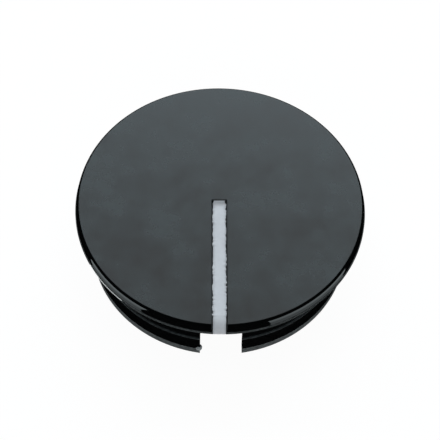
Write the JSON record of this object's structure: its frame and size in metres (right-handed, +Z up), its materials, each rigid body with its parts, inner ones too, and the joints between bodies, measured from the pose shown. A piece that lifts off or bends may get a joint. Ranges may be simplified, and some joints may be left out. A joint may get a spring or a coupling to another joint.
{
  "type": "control knob cap",
  "caption": "Round snap-in cap for a rotary control knob, with a thin rim, a notched snap skirt and a white pointer line in a groove.",
  "frame": {"origin": "centre of the skirt's foot, on the plane that the cap stands on", "axes": "+Z up along the cap's axis towards the visible disc; -Y towards the pointer line and the index notch"},
  "size_m": [0.029, 0.029, 0.0079],
  "materials": {
    "cap_black": "satin top face, glossy sides, injection-moulded black plastic",
    "line_white": "matte white lacquer wiped into the groove"
  },
  "bodies": {
    "root": {"cap_moulding": "cap_black", "pointer_line_fill": "line_white"}
  },
  "joints": []
}
